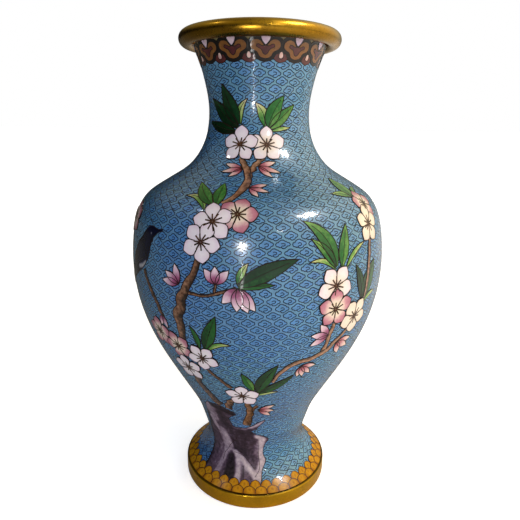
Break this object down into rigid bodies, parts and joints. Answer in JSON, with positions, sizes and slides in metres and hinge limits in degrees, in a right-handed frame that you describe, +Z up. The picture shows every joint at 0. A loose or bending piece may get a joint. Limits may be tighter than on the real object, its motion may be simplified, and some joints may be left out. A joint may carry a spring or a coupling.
{
  "type": "cloisonne vase",
  "caption": "Baluster vase with a flared neck, rolled brass lip, spreading foot on a brass ring, and enamel cells of blossom branches on a blue cloud ground.",
  "frame": {"origin": "on the floor under the vase's axis, in the plane of the foot ring's flat underside", "axes": "+Z up the vase's axis to the mouth, -Y to the side with the main blossom branches, +X to the right of someone looking at that side"},
  "size_m": [0.138, 0.14, 0.254],
  "materials": {
    "lip_brass": "polished",
    "foot_brass": "satin",
    "copper": "satin",
    "lining_blue": "gloss",
    "field_blue": "polished",
    "collar_olive": "gloss",
    "lappet_ochre": "gloss",
    "scale_yellow": "gloss",
    "stump_plum": "gloss",
    "bird_navy": "gloss",
    "leaf_green": "gloss",
    "petal_white": "gloss",
    "petal_pink": "gloss",
    "bark_brown": "gloss"
  },
  "bodies": {
    "root": {"base_enamel": "lining_blue", "base_plate": "copper", "bird": "bird_navy", "blossom_back_high": "petal_white", "blossom_back_low": "petal_white", "blossom_back_mid": "petal_pink", "blossom_centre": "petal_white", "blossom_far_left": "petal_pink", "blossom_far_right_cream": "petal_white", "blossom_far_right_pink": "petal_pink", "blossom_low_left_far": "petal_pink", "blossom_low_left_grey": "petal_white", "blossom_low_left_rose": "petal_pink", "blossom_low_left_white": "petal_white", "blossom_neck_left": "petal_white", "blossom_neck_right": "petal_white", "blossom_right_cream": "petal_white", "blossom_right_pink": "petal_pink", "blossom_right_white": "petal_white", "blossom_shoulder_low": "petal_white", "blossom_shoulder_mid": "petal_white", "blossom_shoulder_pink": "petal_pink", "branch_back": "bark_brown", "branch_centre": "bark_brown", "branch_low_left": "bark_brown", "branch_main": "bark_brown", "branch_neck": "bark_brown", "branch_right": "bark_brown", "collar_ground": "collar_olive", "copper_foot": "copper", "copper_lower_body": "copper", "copper_neck": "copper", "copper_upper_body": "copper", "field_enamel": "field_blue", "foot_ring": "foot_brass", "lappet_collar": "lappet_ochre", "leaves_back": "leaf_green", "leaves_centre": "leaf_green", "leaves_far_right_high": "leaf_green", "leaves_far_right_low": "leaf_green", "leaves_low_left": "leaf_green", "leaves_main": "leaf_green", "leaves_neck_left": "leaf_green", "leaves_neck_right": "leaf_green", "leaves_right": "leaf_green", "leaves_shoulder": "leaf_green", "lining_enamel": "lining_blue", "lip_ring": "lip_brass", "perch": "bark_brown", "scale_border": "scale_yellow", "stem_far_right": "bark_brown", "stump": "stump_plum", "twig_centre": "bark_brown", "twig_low_left": "bark_brown"}
  },
  "joints": []
}
